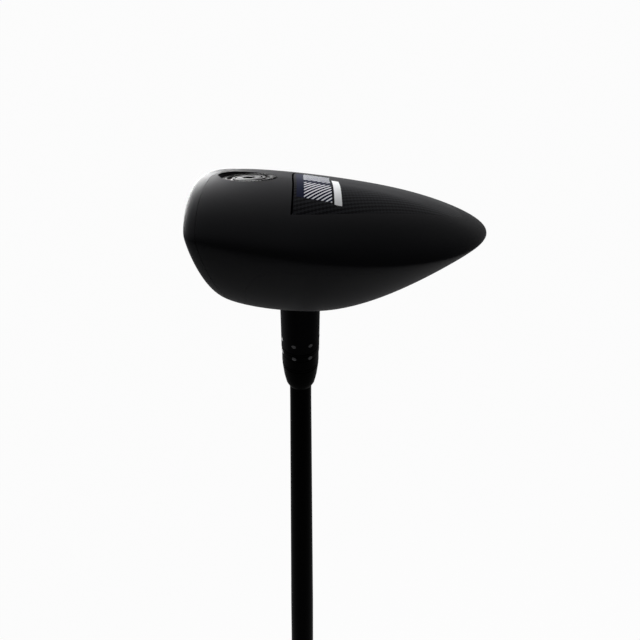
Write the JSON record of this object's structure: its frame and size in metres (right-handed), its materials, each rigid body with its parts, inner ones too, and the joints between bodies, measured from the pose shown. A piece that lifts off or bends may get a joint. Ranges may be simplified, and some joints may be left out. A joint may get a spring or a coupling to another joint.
{
  "type": "fairway wood",
  "caption": "Adjustable golf fairway wood with a hollow black head, composite crown and sole panels, removable toe weight, turning hosel sleeves, tapered shaft and rubber grip.",
  "frame": {"origin": "centre of the butt end of the grip, where the hands start", "axes": "+Z along the shaft axis from the butt up to the head, as the club is held in the picture; -X is the way the face looks; -Y is the toe side"},
  "size_m": [0.0853, 0.1055, 1.1315],
  "materials": {
    "coat": "matt black coat over cast steel",
    "face": "blackened, brushed forged face",
    "composite": "carbon composite under clear lacquer",
    "steel": "bright machined steel",
    "screw": "black oxide steel",
    "anodised": "black anodised aluminium",
    "plastic": "black moulded plastic",
    "graphite": "lacquered black graphite",
    "tape": "adhesive paper tape",
    "grip": "matt black rubber",
    "rubber": "soft black rubber"
  },
  "bodies": {
    "shaft": {"shaft": "graphite", "tip_adapter": "anodised", "tip_plug": "plastic", "ferrule": "plastic", "grip_tape": "tape", "grip_sleeve": "grip", "grip_cap": "grip"},
    "head": {"head_body": "coat", "hosel_tube": "coat", "face_cup": "face", "crown_panel": "composite", "sole_panel": "composite", "hosel_seat_ring": "anodised", "bolt_washer": "steel", "bolt_keeper": "rubber", "weight_ring": "rubber"},
    "hosel_bolt": {"hosel_bolt": "steel"},
    "loft_sleeve": {"loft_sleeve": "anodised"},
    "lie_sleeve": {"lie_sleeve": "anodised"},
    "toe_weight": {"toe_weight": "steel"},
    "weight_screw": {"weight_screw": "screw"}
  },
  "joints": [
    {"name": "head_release", "type": "slide", "parent": "shaft", "child": "head", "axis": [0, 0, 1], "range_m": [0, 0.008]},
    {"name": "hosel_bolt_turn", "type": "hinge", "parent": "head", "child": "hosel_bolt", "pos_m": [0, 0, 1.0922], "axis": [0, 0, 1], "range_deg": [-1, 3601]},
    {"name": "loft_sleeve_turn", "type": "hinge", "parent": "shaft", "child": "loft_sleeve", "pos_m": [0, 0, 1.0922], "axis": [0, 0, 1], "continuous": true},
    {"name": "lie_sleeve_turn", "type": "hinge", "parent": "shaft", "child": "lie_sleeve", "pos_m": [0, 0, 1.0922], "axis": [0, 0, 1], "continuous": true},
    {"name": "weight_release", "type": "slide", "parent": "head", "child": "toe_weight", "axis": [-0.1684, 0.4443, 0.8799], "range_m": [0, 0.0048]},
    {"name": "weight_screw_turn", "type": "hinge", "parent": "toe_weight", "child": "weight_screw", "pos_m": [-0.0016, -0.0457, 1.12096], "axis": [-0.1684, 0.4443, 0.8799], "range_deg": [-1, 2161]}
  ],
  "couplings": [
    {"joint": "hosel_bolt_turn", "follows": "head_release", "rad_per_m": 7854},
    {"joint": "weight_screw_turn", "follows": "weight_release", "rad_per_m": 7854}
  ]
}
